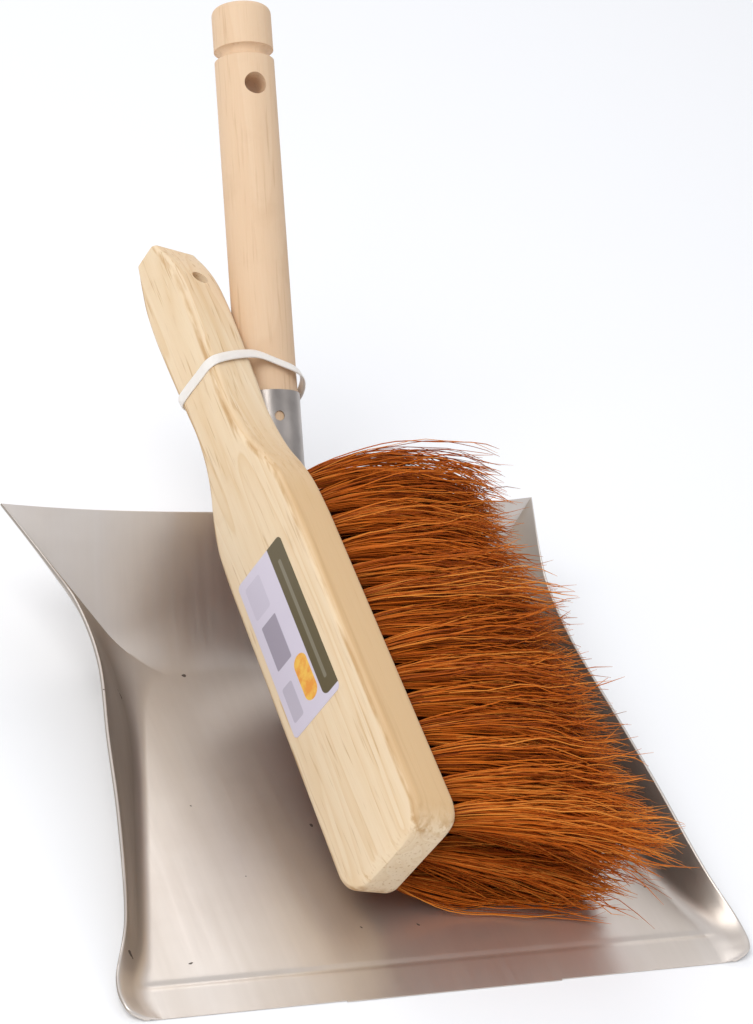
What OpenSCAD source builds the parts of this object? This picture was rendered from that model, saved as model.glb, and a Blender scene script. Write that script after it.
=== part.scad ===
// Dust pan and hand brush set: pressed steel pan with a wooden handle, and a
// coir hand brush held against the pan handle by one clear band.
// Millimetres, +Z up. The pan stands on Z = 0; X is across the pan and +Y runs
// from the front lip towards the handle. The origin is the middle of the floor.

/* [Pan] */
// Thickness of the steel sheet
sheet_t = 0.7; // [0.5:0.1:1.2]
// Height of the ears at the rear corners
ear_h = 47; // [40:1:60]
// How far the bend into the side walls reaches into the floor
side_bend = 5.2; // [3:0.1:8]
// How far the bend into the back wall reaches into the floor
back_bend = 22; // [12:1:24]
// Depth of the front lip ahead of the pressed crease
lip_d = 14; // [8:1:20]

/* [Pan handle] */
// Diameter of the turned handle
handle_d = 24; // [20:1:28]
// Slope of the handle above the floor
handle_slope = 48.3; // [40:0.1:56]
// Length of handle showing above the ferrule
handle_len = 161; // [120:1:190]
// Diameter of the hanging hole through the handle
hang_d = 9; // [6:0.5:10]
// Distance from the handle end to the hanging hole
hang_drop = 35; // [30:1:50]

/* [Brush] */
// Overall length of the brush wood
brush_len = 297; // [260:1:320]
// Width of the block that holds the bristles
block_w = 46; // [40:1:50]
// Thickness of the block
block_t = 18.5; // [16:0.5:22]
// Thickness of the grip at its free end
grip_t = 22.3; // [19:0.1:24]
// Diameter of the hanging hole through the grip
eye_d = 7; // [5:0.5:8]
// Length of bristle outside the block
bristle_len = 85; // [60:1:95]
// Number of bristle tufts in the long rows
tufts_long = 14; // [10:1:16]

/* [Hidden] */

$fn = 48;
fit = 0.05;
gap = 0.35;

// Stations of the pan, measured from the crease behind the lip.
floor_mid = 85;
crease_pts = [
    [100.5, -lip_d], [102.6, -8.5], [102.5, 0], [97.5, 21], [90.1, 54], [82, 88],
    [75, 120], [71, 148], [68.5, 162], [63, 171.5]
];
rim_pts = [
    [104.5, -lip_d, 1], [109.8, -10.8, 3.2], [110.4, 0, 5.4],
    [104.2, 19, 13.3], [99.2, 54, 23.4], [95.6, 88, 30.6], [91.8, 121, 37.8],
    [93.3, 150, 42.0], [98.5, 173, 43.6], [109, 209, ear_h]
];
back_mid = [0, 181];
back_rim = [0, 206, ear_h - 3.5];
ear_curve = 0.35;
corner_bend = 16;
side_steps = 28;
back_steps = 11;
bend_steps = 6;

tongue_w = 76;
tongue_proud = 0.5;
groove_w = 1.6;
groove_d = 0.25;

// Handle axis: the point at the ferrule's upper edge.
handle_foot = [0, 240, 75];
handle_in = 24;
cap_len = 18;
cove_w = 4.5;
cove_deep = 2.6;
scoop_r = 5;
ferrule_t = 0.6;
ferrule_fit = 0.15;
ferrule_top = 1.5;
ring_n = 32;
neck_steps = 8;
hole_drop = 9;
vent_d = 4;
nail_d = 2.2;
nail_head_d = 5;
nail_len = 12.4;
nail_drop = 16;
tang_w = 26;
tang_foot = 20;
tang_top = 52;
tang_t = 1.4;
rivet_d = 4;
rivet_head_d = 7.5;
rivet_stations = [27, 40];

// Rest pose of the brush: roll onto its side, pitch and yaw, block end.
brush_roll = -72.8;
brush_pitch = 14.35;
brush_yaw = 3.3;
brush_at = [-22.5, 13.5, 32.4];

row_count = 5;
row_pitch = 8;
tuft_first = 7;
tuft_last = 160;
socket_r = 2.3;
socket_deep = 11;
tuft_r = 2.2;
tuft_tip_r = 2.45;
tuft_stub = 0.9;
tuft_root_r = 1.9;
splay_side = 1.25;
splay_long = 1.12;
floor_gap = 5;
tip_pitch = 5.5;
wall_keep = 160;

label_from = 64;
label_len = 70;
label_w = 29;
label_side = -3;
label_t = 0.15;

band_w = 4;
band_t = 0.9;
band_station = 226;
band_handle = 2.7;

function lerp(a, b, k) = a + (b - a) * k;

function smooth(k) = let (c = min(1, max(0, k))) c * c * (3 - 2 * c);

// Smooth curve through a list of points.
function along(p, u) =
    let (
        n = len(p) - 1,
        s = min(n - 1e-6, max(0, u * n)),
        i = floor(s),
        k = s - i,
        a = p[max(0, i - 1)],
        b = p[i],
        c = p[i + 1],
        d = p[min(n, i + 2)]
    )
    0.5 * (2 * b + (c - a) * k + (2 * a - 5 * b + 4 * c - d) * k * k
        + (3 * b - a - 3 * c + d) * k * k * k);

// One station of the wall: [foot, rim, reach of the bend], right half.
function side_station(u) = [along(crease_pts, u), along(rim_pts, u),
    lerp(side_bend, corner_bend, smooth((u - 0.62) / 0.38))];

function back_station(v) =
    let (
        foot = crease_pts[len(crease_pts) - 1],
        ear = rim_pts[len(rim_pts) - 1],
        k = pow(1 - v, 3)
    )
    [
        [lerp(foot.x, 0, v), lerp(foot.y, back_mid.y, smooth(v * 1.3))],
        [lerp(ear.x, 0, v), lerp(back_rim.y, ear.y, k),
            lerp(back_rim.z, ear.z, lerp(k, 1 - v, ear_curve))],
        lerp(corner_bend, back_bend, smooth(v * 2))
    ];

function half_stations() = concat(
    [for (i = [0 : side_steps]) side_station(i / side_steps)],
    [for (i = [1 : back_steps]) back_station(i / back_steps)]);

function flip(s) = [[-s[0].x, s[0].y], [-s[1].x, s[1].y, s[1].z], s[2]];

function all_stations() =
    let (h = half_stations(), n = len(h))
    concat(h, [for (i = [1 : n - 1]) flip(h[n - 1 - i])]);

// Cross-section of the wall at one station, lifted off its outer skin.
function wall_points(s, lift) =
    let (
        out = [s[1].x - s[0].x, s[1].y - s[0].y],
        run = norm(out),
        dir = out / run,
        tilt = atan2(s[1].z, run),
        full = norm([run, s[1].z]),
        tang = min(s[2], 0.45 * full),
        r = tang / tan(tilt / 2)
    )
    [for (j = [0 : bend_steps + 1])
        let (
            a = tilt * min(j, bend_steps) / bend_steps,
            h = j > bend_steps ? run : -tang + r * sin(a),
            z = j > bend_steps ? s[1].z : r * (1 - cos(a)),
            q = h - lift * sin(a)
        )
        [s[0].x + dir.x * q, s[0].y + dir.y * q, z + lift * cos(a)]];

module pan_shell() {
    st = all_stations();
    n = len(st);
    m = bend_steps + 2;
    half = tongue_w / 2;
    front = [[-half, -lip_d], [-half, -lip_d - tongue_proud],
        [half, -lip_d - tongue_proud], [half, -lip_d]];
    inner = concat([for (s = st) each wall_points(s, sheet_t)],
        [for (p = front) [p.x, p.y, sheet_t]]);
    outer = concat([for (s = st) each wall_points(s, 0)],
        [for (p = front) [p.x, p.y, 0]]);
    q = len(inner);
    last = (n - 1) * m;
    grid = [for (i = [0 : n - 2]) for (j = [0 : m - 2]) [i * m + j,
        (i + 1) * m + j, (i + 1) * m + j + 1, i * m + j + 1]];
    edge = concat([for (j = [m - 1 : -1 : 1]) [j, j - 1]],
        [[0, n * m + 3], [n * m + 3, n * m + 2], [n * m + 2, n * m + 1],
            [n * m + 1, n * m], [n * m, last]],
        [for (j = [0 : m - 2]) [last + j, last + j + 1]],
        [for (i = [n - 2 : -1 : 0]) [(i + 1) * m + m - 1, i * m + m - 1]]);
    floor_loop = concat([for (i = [0 : n - 1]) i * m],
        [for (k = [0 : 3]) n * m + k]);
    k = len(floor_loop);
    polyhedron(points = concat(inner, outer), faces = concat(
        [for (f = grid) each [[f[0], f[1], f[2]], [f[0], f[2], f[3]]]],
        [for (f = grid) each [[q + f[2], q + f[1], q + f[0]],
            [q + f[3], q + f[2], q + f[0]]]],
        [for (e = edge) each [[e[1], e[0], q + e[0]],
            [e[1], q + e[0], q + e[1]]]],
        [[for (i = [k - 1 : -1 : 0]) floor_loop[i]]],
        [[for (i = [0 : k - 1]) q + floor_loop[i]]]
    ), convexity = 6);
}

// Frames: the pan floor, the back wall's outer face and the handle axis.
module on_floor() {
    translate([0, -floor_mid, 0]) children();
}

wall_tilt = atan2(back_rim.z, back_rim.y - back_mid.y);

module on_back_wall() {
    on_floor() translate([0, back_mid.y, 0]) rotate([wall_tilt - 90, 0, 0])
        children();
}

module on_handle() {
    on_floor() translate(handle_foot) rotate([handle_slope - 90, 0, 0])
        children();
}

module on_brush() {
    on_floor() translate(brush_at)
        rotate([0, 0, brush_yaw]) rotate([brush_pitch, 0, 0])
            rotate([0, brush_roll, 0]) children();
}

module pan_sheet() {
    color("Silver") difference() {
        on_floor() pan_shell();
        on_floor() translate([-crease_pts[1].x + groove_w, 0, sheet_t])
            rotate([90, 0, 90])
                linear_extrude(2 * (crease_pts[1].x - groove_w))
                    polygon([[-groove_w / 2, 1], [-groove_w / 2, 0],
                        [0, -groove_d], [groove_w / 2, 0],
                        [groove_w / 2, 1]]);
        on_back_wall() for (s = rivet_stations)
            translate([0, 0, s]) rotate([90, 0, 0])
                cylinder(d = rivet_d + 2 * fit, h = 12, center = true);
    }
}

// One ring of the ferrule: round on the handle, flat against the wall.
function ferrule_ring(k, drop, grow) =
    let (
        r = handle_d / 2 + ferrule_fit + grow,
        up = [0, cos(handle_slope), sin(handle_slope)],
        out = [0, sin(handle_slope), -cos(handle_slope)],
        w_up = [0, cos(wall_tilt), sin(wall_tilt)],
        w_out = [0, sin(wall_tilt), -cos(wall_tilt)],
        flat_at = [0, back_mid.y, 0] + (gap + tang_t / 2) * w_out,
        half = tang_w / 2 - ferrule_t + grow,
        thin = 0.1 + grow
    )
    [for (i = [0 : ring_n - 1])
        let (
            a = 360 * i / ring_n,
            round_p = handle_foot + drop[0] * up
                + r * (cos(a) * [1, 0, 0] + sin(a) * out),
            flat_p = flat_at + drop[1] * w_up
                + half * cos(a) * [1, 0, 0]
                + thin * max(-1, min(1, 2 * sin(a))) * w_out
        )
        lerp(round_p, flat_p, k)];

// Solid through a list of rings with the same number of points.
module loft(rings) {
    n = len(rings);
    m = len(rings[0]);
    polyhedron(points = [for (r = rings) each r], faces = concat(
        [for (i = [0 : n - 2]) for (j = [0 : m - 1])
            let (a = i * m + j, b = i * m + (j + 1) % m)
            each [[a, b, b + m], [a, b + m, a + m]]],
        [[for (j = [0 : m - 1]) m - 1 - j]],
        [[for (j = [0 : m - 1]) (n - 1) * m + j]]
    ), convexity = 4);
}

module ferrule_form(top, grow, foot) {
    loft(concat(
        [ferrule_ring(0, [top, 0], grow)],
        [for (i = [0 : neck_steps])
            let (k = i / neck_steps)
            ferrule_ring(smooth(k), [lerp(-handle_in, -50, k),
                lerp(72, tang_top, k)], grow)],
        [ferrule_ring(1, [0, foot], grow)]));
}

module ferrule() {
    color("LightSlateGray") difference() {
        on_floor() ferrule_form(ferrule_top, ferrule_t, tang_foot);
        on_floor() ferrule_form(ferrule_top + 5, 0, tang_top - 4);
        on_handle() translate([0, 0, -hole_drop]) rotate([90, 0, 0])
            cylinder(d = vent_d, h = handle_d);
        on_handle() translate([0, 0, -nail_drop]) rotate([-90, 0, 0])
            cylinder(d = nail_d + 2 * fit, h = handle_d);
        on_back_wall() for (s = rivet_stations)
            translate([0, 0, s]) rotate([90, 0, 0])
                cylinder(d = rivet_d + 2 * fit, h = 12, center = true);
    }
}

module ferrule_rivets() {
    color("Gainsboro") on_back_wall() for (s = rivet_stations)
        translate([0, 0, s]) rotate([-90, 0, 0]) {
            translate([0, 0, -sheet_t - gap])
                cylinder(d = rivet_d, h = sheet_t + 2 * gap + tang_t + 0.2);
            translate([0, 0, -sheet_t - gap - 1.2])
                cylinder(d1 = rivet_head_d - 2.5, d2 = rivet_head_d, h = 1.2);
            translate([0, 0, gap + tang_t + 0.15])
                cylinder(d1 = rivet_head_d, d2 = rivet_head_d - 2.5, h = 1.2);
        }
}

module handle_nail() {
    seat = handle_d / 2 + ferrule_fit + ferrule_t + 0.1;
    color("DimGray") on_handle() translate([0, 0, -nail_drop])
        rotate([-90, 0, 0]) {
            translate([0, 0, seat - nail_len])
                cylinder(d = nail_d, h = nail_len + 0.1);
            translate([0, 0, seat]) cylinder(d = nail_head_d, h = 0.9);
        }
}

// Turned profile: tip round, cap, cove and plain grip.
module handle_profile() {
    r = handle_d / 2;
    cove = handle_len - cap_len - cove_w;
    polygon(concat(
        [[0, -handle_in + 0.6], [r - 0.8, -handle_in + 0.6],
            [r, -handle_in + 1.4], [r, cove]],
        [for (a = [15 : 15 : 165])
            [r - cove_deep * sin(a), cove + cove_w * (1 - cos(a)) / 2]],
        [[r, cove + cove_w], [r, handle_len - 3]],
        [for (a = [15 : 15 : 90])
            [r - 3 + 3 * cos(a), handle_len - 3 + 3 * sin(a)]],
        [[0, handle_len]]));
}

module pan_handle() {
    color("BurlyWood") on_handle() difference() {
        rotate_extrude() handle_profile();
        translate([0, 0, handle_len - hang_drop]) rotate([90, 0, 0])
            cylinder(d = hang_d, h = handle_d + 2, center = true);
        translate([0, 0, -nail_drop]) rotate([-90, 0, 0])
            cylinder(d = nail_d + 2 * fit, h = handle_d);
    }
}

// Half width of the brush wood along its plan, from the block end.
plan_len = 299;
half_pts = [[0, 12], [0.6, 15.6], [1.5, 17.5], [3, 19.5], [5, 21.2],
    [8, 22.6], [11, 23], [80, 23], [140, 23], [156, 22.2], [168, 19.3],
    [180, 14.9], [192, 12.3], [206, 11.1], [222, 12], [246, 13],
    [262, 13.4], [276, 12.8], [286, 11.1], [293, 8.9], [299, 6.4]];

function pick(p, x) =
    let (i = max([for (k = [0 : len(p) - 2]) if (p[k].x <= x) k]))
    lerp(p[i].y, p[i + 1].y, (x - p[i].x) / (p[i + 1].x - p[i].x));

function half_at(s) =
    let (k = s * plan_len / brush_len, w = k < 14 ? 0 : 2)
    (pick(half_pts, k - w) + pick(half_pts, k)
        + pick(half_pts, min(plan_len, k + w))) / 3 * block_w / 46;

function thick_at(s) = lerp(block_t, grip_t, smooth((s - 150) / 45))
    - (s > 280 ? 1.5 * pow((s - 280) / 19, 2) : 0)
    - (s < 5 ? 2.5 * pow(1 - s / 5, 2) : 0);

function edge_at(s) = lerp(3, 3.8, smooth((s - 150) / 40))
    - 1.6 * smooth((s - 284) / 13);

corner_steps = 4;

// Rounded rectangle across the brush wood.
function wood_section(s) =
    let (
        w = half_at(s),
        t = thick_at(s),
        top = s < 5 ? -1.6 * pow(1 - s / 5, 2) : 0,
        r = min(edge_at(s), w * 0.9),
        h = t + top
    )
    [for (c = [0 : 3]) for (k = [0 : corner_steps])
        let (
            a = 90 * c + 90 * k / corner_steps,
            sx = (c == 0 || c == 3) ? 1 : -1,
            sz = c < 2 ? 1 : -1
        )
        [sx * (w - r) + r * cos(a), s,
            (sz > 0 ? top - r : -h + r) + r * sin(a)]];

module wood_body() {
    st = concat([0, 0.6, 1.5, 3, 5, 8, 11, 20],
        [for (s = [40 : 25 : 140]) s], [for (s = [148 : 5 : 208]) s],
        [for (s = [216 : 8 : 264]) s], [270, 276, 281, 286, 291, 295, 299]);
    loft([for (s = st) wood_section(s * brush_len / plan_len)]);
}

// Tuft layout: rows across the block, staggered along it.
function row_x(r) = (r - (row_count + 1) / 2) * row_pitch;

function row_n(r) = tufts_long - (r % 2 == 0 ? 1 : 0);

function tuft_s(r, i) =
    let (step = (tuft_last - tuft_first) / (tufts_long - 1))
    tuft_first + step * (i + (r % 2 == 0 ? 0.5 : 0));

// Brush frame to pan frame and back.
function turn_y(p, a) = [p.x * cos(a) + p.z * sin(a), p.y,
    -p.x * sin(a) + p.z * cos(a)];
function turn_x(p, a) = [p.x, p.y * cos(a) - p.z * sin(a),
    p.y * sin(a) + p.z * cos(a)];
function turn_z(p, a) = [p.x * cos(a) - p.y * sin(a),
    p.x * sin(a) + p.y * cos(a), p.z];
function to_pan(p) = brush_at
    + turn_z(turn_x(turn_y(p, brush_roll), brush_pitch), brush_yaw);
function to_brush(p) = turn_y(turn_x(turn_z(p - brush_at, -brush_yaw),
    -brush_pitch), -brush_roll);

// Tip of a tuft: fanned out, but held off the floor and the back wall.
function tuft_tip(r, i) =
    let (
        s = tuft_s(r, i),
        mid = (tuft_first + tuft_last) / 2,
        free = to_pan([row_x(r) * splay_side, mid + (s - mid) * splay_long,
            -block_t - bristle_len]),
        z = max(free.z, floor_gap + tip_pitch * (r - 1)),
        y = min(free.y, wall_keep - 6.2 * (row_n(r) - 1 - i) + 0.89 * z)
    )
    to_brush([free.x, y, z]);

module between(a, b, r1, r2) {
    d = b - a;
    l = norm(d);
    translate(a) rotate([0, acos(d.z / l), atan2(d.y, d.x)])
        cylinder(r1 = r1, r2 = r2, h = l, $fn = 24);
}

module tuft_row(r) {
    color("Chocolate") on_brush() for (i = [0 : row_n(r) - 1]) {
        root = [row_x(r), tuft_s(r, i), -block_t - tuft_stub];
        translate(root - [0, 0, 1.2]) cylinder(r = tuft_root_r,
            h = socket_deep + tuft_stub - 2, $fn = 24);
        between(root, tuft_tip(r, i), tuft_r, tuft_tip_r);
    }
}

module anchor_row(r) {
    color("Gray") on_brush() for (i = [0 : row_n(r) - 1])
        translate([row_x(r), tuft_s(r, i),
            -block_t + socket_deep - 1.4])
            cube([0.5, 3.8, 2], center = true);
}

module brush_block() {
    color("Wheat") on_brush() difference() {
        wood_body();
        for (r = [1 : row_count]) for (i = [0 : row_n(r) - 1])
            translate([row_x(r), tuft_s(r, i), -block_t - 5])
                cylinder(r = socket_r, h = socket_deep + 5, $fn = 16);
        translate([0, brush_len - 22, -grip_t / 2 - 1])
            rotate([0, 90, 0]) cylinder(d = eye_d, h = block_w,
                center = true);
    }
}

module brush_label() {
    r = 2;
    color("Lavender") on_brush()
        translate([label_side, label_from + label_len / 2, 0])
            linear_extrude(label_t) polygon([
                for (c = [0 : 3]) for (a = [0 : 30 : 90])
                    [((c == 0 || c == 3) ? 1 : -1) * (label_w / 2 - r)
                        + r * cos(a + 90 * c),
                    (c < 2 ? 1 : -1) * (label_len / 2 - r)
                        + r * sin(a + 90 * c)]]);
}

// Band: a plane through the brush neck and the pan handle.
brush_neck = to_pan([0, band_station, -block_t / 2]);
handle_dir = [0, cos(handle_slope), sin(handle_slope)];
handle_pt = handle_foot + band_handle * handle_dir;
brush_side = to_pan([1, 0, 0]) - brush_at;
band_x = (handle_pt - brush_neck) / norm(handle_pt - brush_neck);
band_n = cross(band_x, brush_side) / norm(cross(band_x, brush_side));
band_y = cross(band_n, band_x);

function in_band(p) = let (d = p - brush_neck)
    [d * band_x, d * band_y, d * band_n];

// Where a line along a direction crosses the band plane at a given level.
function cross_at(p, dir, level) =
    let (
        a = in_band(p),
        b = in_band(p + dir) - a,
        k = (level - a.z) / b.z
    )
    [a.x + b.x * k, a.y + b.y * k];

brush_dir = to_pan([0, 1, 0]) - brush_at;
handle_side = cross([1, 0, 0], handle_dir);

module band_inside(grow) {
    sec = wood_section(band_station);
    offset(r = grow) hull() for (level = [-band_w / 2, band_w / 2]) {
        polygon([for (p = sec) cross_at(to_pan(p), brush_dir, level)]);
        polygon([for (a = [0 : 10 : 350])
            cross_at(handle_pt + (handle_d / 2 + ferrule_fit + ferrule_t)
                * ([cos(a), 0, 0] + sin(a) * handle_side),
                handle_dir, level)]);
    }
}

module band() {
    color("WhiteSmoke", 0.6) on_floor()
        multmatrix([
            [band_x.x, band_y.x, band_n.x, brush_neck.x],
            [band_x.y, band_y.y, band_n.y, brush_neck.y],
            [band_x.z, band_y.z, band_n.z, brush_neck.z],
            [0, 0, 0, 1]])
            translate([0, 0, -band_w / 2]) linear_extrude(band_w)
                difference() {
                    band_inside(gap + band_t);
                    band_inside(gap);
                }
}

pan_sheet();
ferrule();
ferrule_rivets();
handle_nail();
pan_handle();
brush_block();
tuft_row(1);  // tuft_row_1
tuft_row(2);  // tuft_row_2
tuft_row(3);  // tuft_row_3
tuft_row(4);  // tuft_row_4
tuft_row(5);  // tuft_row_5
anchor_row(1);  // anchor_row_1
anchor_row(2);  // anchor_row_2
anchor_row(3);  // anchor_row_3
anchor_row(4);  // anchor_row_4
anchor_row(5);  // anchor_row_5
brush_label();
band();
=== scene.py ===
import math

import bmesh
import bpy
import numpy as np
from mathutils import Matrix, Vector


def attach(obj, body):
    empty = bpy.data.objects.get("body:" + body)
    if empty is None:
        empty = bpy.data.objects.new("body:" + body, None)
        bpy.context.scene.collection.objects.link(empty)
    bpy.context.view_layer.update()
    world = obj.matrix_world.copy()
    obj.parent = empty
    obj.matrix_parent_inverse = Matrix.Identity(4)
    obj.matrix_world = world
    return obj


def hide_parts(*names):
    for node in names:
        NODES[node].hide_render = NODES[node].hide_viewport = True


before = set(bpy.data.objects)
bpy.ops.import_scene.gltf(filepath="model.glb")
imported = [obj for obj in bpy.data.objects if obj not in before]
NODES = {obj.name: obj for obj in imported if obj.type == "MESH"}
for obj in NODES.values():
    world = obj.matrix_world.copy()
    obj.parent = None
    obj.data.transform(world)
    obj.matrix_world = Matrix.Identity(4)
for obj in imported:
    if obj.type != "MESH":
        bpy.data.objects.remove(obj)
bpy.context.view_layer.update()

MM = 0.001
MID = 85.0                      # from the front crease back to the frame's origin

# ---------------------------------------------------------------- helpers


def smooth(k):
    k = np.clip(k, 0.0, 1.0)
    return k * k * (3 - 2 * k)


def lerp(a, b, k):
    return a + (b - a) * k


def make_mesh(name, verts, faces, smooth_shade=True):
    me = bpy.data.meshes.new(name)
    me.from_pydata([tuple(v) for v in verts], [], [tuple(f) for f in faces])
    me.update()
    if smooth_shade:
        me.polygons.foreach_set("use_smooth", [True] * len(me.polygons))
    ob = bpy.data.objects.new(name, me)
    bpy.context.scene.collection.objects.link(ob)
    return ob


def fix_normals(ob):
    bm = bmesh.new()
    bm.from_mesh(ob.data)
    bmesh.ops.recalc_face_normals(bm, faces=bm.faces)
    bm.to_mesh(ob.data)
    bm.free()


def sharp(ob, degrees):
    """Keeps edges steeper than this crisp."""
    bm = bmesh.new()
    bm.from_mesh(ob.data)
    for e in bm.edges:
        e.smooth = len(e.link_faces) != 2 or e.calc_face_angle(0) < math.radians(degrees)
    for f in bm.faces:
        f.smooth = True
    bm.to_mesh(ob.data)
    bm.free()


def rod(r, at, d, length):
    bm = bmesh.new()
    turn = Matrix.Translation(Vector(at) * MM) @ Vector(d).to_track_quat("Z", "Y").to_matrix().to_4x4()
    bmesh.ops.create_cone(bm, cap_ends=True, segments=40, radius1=r * MM, radius2=r * MM,
                          depth=length * MM, matrix=turn)
    me = bpy.data.meshes.new("rod")
    bm.to_mesh(me)
    bm.free()
    ob = bpy.data.objects.new("rod", me)
    bpy.context.scene.collection.objects.link(ob)
    return ob


def carve(ob, cutters):
    for i, c in enumerate(cutters):
        mod = ob.modifiers.new("cut%d" % i, "BOOLEAN")
        mod.object, mod.operation, mod.solver = c, "DIFFERENCE", "EXACT"
    bpy.context.view_layer.update()
    done = bpy.data.meshes.new_from_object(ob.evaluated_get(bpy.context.evaluated_depsgraph_get()))
    ob.modifiers.clear()
    ob.data = done
    for c in cutters:
        bpy.data.objects.remove(c)


class Graph:
    """Short way to write a material's node tree."""

    def __init__(self, name):
        self.m = bpy.data.materials.new(name)
        self.m.use_nodes = True
        self.t = self.m.node_tree
        self.b = self.t.nodes["Principled BSDF"]
        self.coord = self.t.nodes.new("ShaderNodeTexCoord").outputs["Object"]

    def put(self, socket, v):
        if isinstance(v, bpy.types.NodeSocket):
            self.t.links.new(v, socket)
        elif hasattr(socket.default_value, "__len__"):
            v = list(v) if hasattr(v, "__len__") else [v] * len(socket.default_value)
            n = len(socket.default_value)
            socket.default_value = (v + [1.0] * n)[:n]
        else:
            socket.default_value = v

    def node(self, kind, out=0, props=None, **ins):
        n = self.t.nodes.new("ShaderNode" + kind)
        for k, v in (props or {}).items():
            setattr(n, k, v)
        for k, v in ins.items():
            key = int(k[1:]) if k[0] == "i" and k[1:].isdigit() else k.replace("_", " ")
            self.put(n.inputs[key], v)
        return n.outputs[out]

    def math(self, op, a, b=0.0, c=0.0, clamp=False):
        return self.node("Math", props={"operation": op, "use_clamp": clamp}, i0=a, i1=b, i2=c)

    def mapping(self, vec, scale=(1, 1, 1), loc=(0, 0, 0), rot=(0, 0, 0)):
        return self.node("Mapping", Vector=vec, Scale=scale, Location=loc, Rotation=rot)

    def noise(self, vec, scale, detail=3.0, rough=0.5, dist=0.0):
        return self.node("TexNoise", Vector=vec, Scale=scale, Detail=detail, Roughness=rough,
                         Distortion=dist)

    def ramp(self, fac, stops):
        n = self.t.nodes.new("ShaderNodeValToRGB")
        self.put(n.inputs[0], fac)
        e = n.color_ramp.elements
        while len(e) < len(stops):
            e.new(0.5)
        for el, (p, c) in zip(e, stops):
            el.position = p
            el.color = tuple(c) + (1.0,) if len(c) == 3 else (c[0],) * 3 + (1.0,)
        return n.outputs[0]

    def axis(self, i):
        """One of the three object coordinates, in metres."""
        return self.node("SeparateXYZ", out=i, Vector=self.coord)

    def sideways(self):
        """How far the face looks along the object's X: 0 to 1."""
        face = self.node("TexCoord", out=1)
        return self.math("ABSOLUTE", self.node("SeparateXYZ", out=0, Vector=face))

    def band(self, v, a, b, soft=0.02):
        """1 between a and b, with soft edges."""
        up = self.node("MapRange", Value=v, From_Min=a - soft, From_Max=a + soft)
        dn = self.node("MapRange", Value=v, From_Min=b + soft, From_Max=b - soft)
        return self.math("MULTIPLY", up, dn)

    def mix(self, fac, a, b, blend="MIX"):
        n = self.t.nodes.new("ShaderNodeMix")
        n.data_type = "RGBA"
        n.blend_type = blend
        self.put(n.inputs[0], fac)
        self.put(n.inputs[6], a)
        self.put(n.inputs[7], b)
        return n.outputs[2]

    def bump(self, height, strength, distance):
        return self.node("Bump", Height=height, Strength=strength, Distance=distance)

    def set(self, **ins):
        for k, v in ins.items():
            self.put(self.b.inputs[k.replace("_", " ")], v)
        return self.m


# ---------------------------------------------------------------- materials


def metal_sheet():
    g = Graph("galvanised_sheet")
    streak = g.noise(g.mapping(g.coord, scale=(1, 0.03, 0.08)), 420, 4, 0.6)
    wide = g.noise(g.mapping(g.coord, scale=(1, 0.10, 0.15)), 38, 3, 0.55)
    cloud = g.noise(g.coord, 13, 4, 0.55, 0.4)
    grit = g.noise(g.coord, 900, 3, 0.6)
    wob = g.mix(0.004, g.coord, g.node("TexNoise", out=1, Vector=g.coord, Scale=260, Detail=2), "ADD")
    cell = g.t.nodes.new("ShaderNodeTexVoronoi")
    g.put(cell.inputs["Vector"], g.mapping(wob, scale=(1, 1, 0)))
    g.put(cell.inputs["Scale"], 100)

    def pick(i):
        return g.node("SeparateColor", out=i, Color=cell.outputs["Color"])

    size = g.math("MULTIPLY", pick(1), 0.085)
    spot = g.math("LESS_THAN", cell.outputs["Distance"], g.math("ADD", 0.02, size))
    spot = g.math("MULTIPLY", spot, g.math("GREATER_THAN", pick(0), 0.66))
    base = g.ramp(cloud, [(0.32, (0.68, 0.61, 0.55)), (0.68, (0.80, 0.745, 0.69))])
    base = g.mix(g.ramp(wide, [(0.40, (0, 0, 0)), (0.66, (0.6,) * 3)]), base, (0.68, 0.60, 0.52))
    base = g.mix(g.math("MULTIPLY", streak, 0.12), base, (0.40, 0.36, 0.33))
    # Painted reflection: faces turned along X (the side walls) are painted darker, standing in for the
    # dark surroundings they would mirror.
    painted_wall_reflection = g.ramp(g.sideways(), [(0.30, (0, 0, 0)), (0.80, (0.85,) * 3)])
    base = g.mix(painted_wall_reflection, base, (0.34, 0.29, 0.24))
    base = g.mix(g.math("MULTIPLY", spot, 0.85), base, (0.07, 0.045, 0.035))
    rough = g.math("ADD", 0.38, g.math("MULTIPLY", g.math("SUBTRACT", wide, 0.5), 0.22))
    rough = g.math("ADD", rough, g.math("MULTIPLY", g.math("SUBTRACT", streak, 0.5), 0.14))
    rough = g.math("ADD", rough, g.math("MULTIPLY", spot, 0.4))
    h = g.math("ADD", g.math("MULTIPLY", streak, 0.2), g.math("MULTIPLY", cloud, 2.0))
    h = g.math("ADD", h, g.math("MULTIPLY", grit, 0.5))
    return g.set(Base_Color=base, Metallic=0.84, Roughness=rough, Normal=g.bump(h, 0.4, 0.00006),
                 Specular_IOR_Level=0.3)


def metal_plain(name, tint, rough, scale=700):
    g = Graph(name)
    n = g.noise(g.mapping(g.coord, scale=(1, 0.3, 0.3)), scale, 3, 0.6)
    c = g.noise(g.coord, 60, 3)
    dark = tuple(x * 0.72 for x in tint)
    base = g.mix(g.ramp(c, [(0.35, (0, 0, 0)), (0.65, (1, 1, 1))]), dark, tint)
    r = g.math("ADD", rough, g.math("MULTIPLY", g.math("SUBTRACT", n, 0.5), 0.2))
    return g.set(Base_Color=base, Metallic=1.0, Roughness=r, Normal=g.bump(n, 0.25, 0.00005))


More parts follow.
